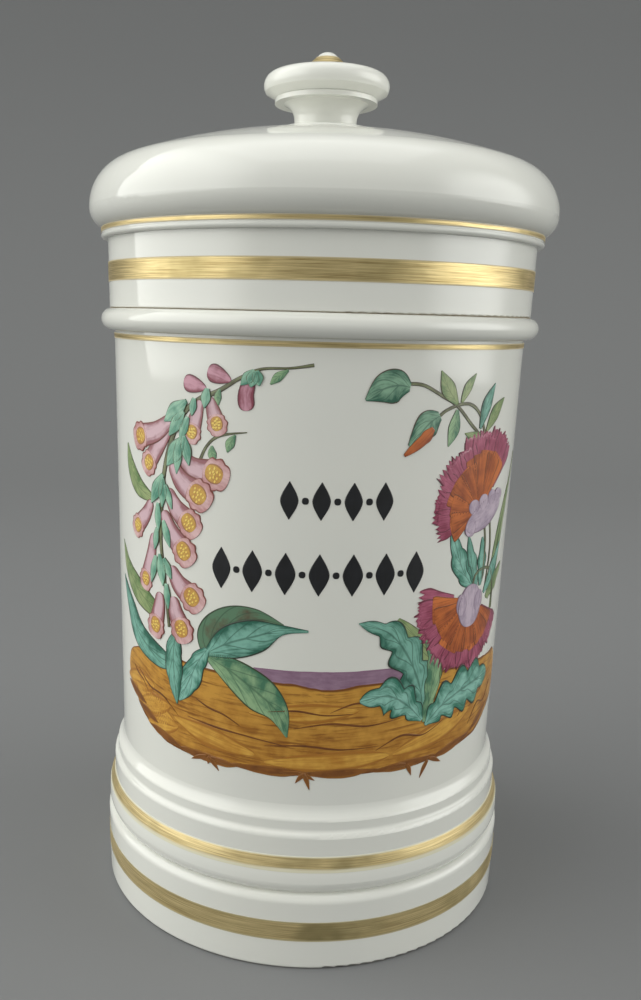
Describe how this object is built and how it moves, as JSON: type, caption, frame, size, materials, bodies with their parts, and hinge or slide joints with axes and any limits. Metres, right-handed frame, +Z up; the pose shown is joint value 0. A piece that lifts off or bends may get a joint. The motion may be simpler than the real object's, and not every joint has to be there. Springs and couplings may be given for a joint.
{
  "type": "apothecary jar",
  "caption": "Straight-sided porcelain apothecary jar with a moulded foot, painted front, gilt bands and a domed lift-off lid with a knob.",
  "frame": {"origin": "centre of the foot, on the surface the jar stands on", "axes": "+Z up along the axis of turning; the painted front faces -Y"},
  "size_m": [0.15, 0.15, 0.2819],
  "materials": {
    "jar_porcelain": "glossy clear glaze over warm white hard-paste porcelain",
    "lid_porcelain": "glossy clear glaze over warm white hard-paste porcelain",
    "gilding": "burnished fired-on gold, brushed and a little worn",
    "enamel_paint": "overglaze enamel colours, painted and fired, semi-gloss",
    "black_enamel": "black overglaze enamel"
  },
  "bodies": {
    "jar": {"jar_body": "jar_porcelain", "plinth_gilt_band": "gilding", "bulge_gilt_band": "gilding", "shoulder_gilt_line": "gilding"},
    "lid_carrier": {"lid_rim_gilt_line": "gilding"},
    "lid": {"lid_shell": "lid_porcelain", "lid_knob": "lid_porcelain", "lid_gilt_band": "gilding", "finial_gilt_band": "gilding"}
  },
  "joints": [
    {"name": "lid_lift", "type": "slide", "parent": "jar", "child": "lid_carrier", "axis": [0, 0, 1], "range_m": [0, 0.12]},
    {"name": "lid_turn", "type": "hinge", "parent": "lid_carrier", "child": "lid", "pos_m": [0, 0, 0.204], "axis": [0, 0, 1], "continuous": true}
  ]
}
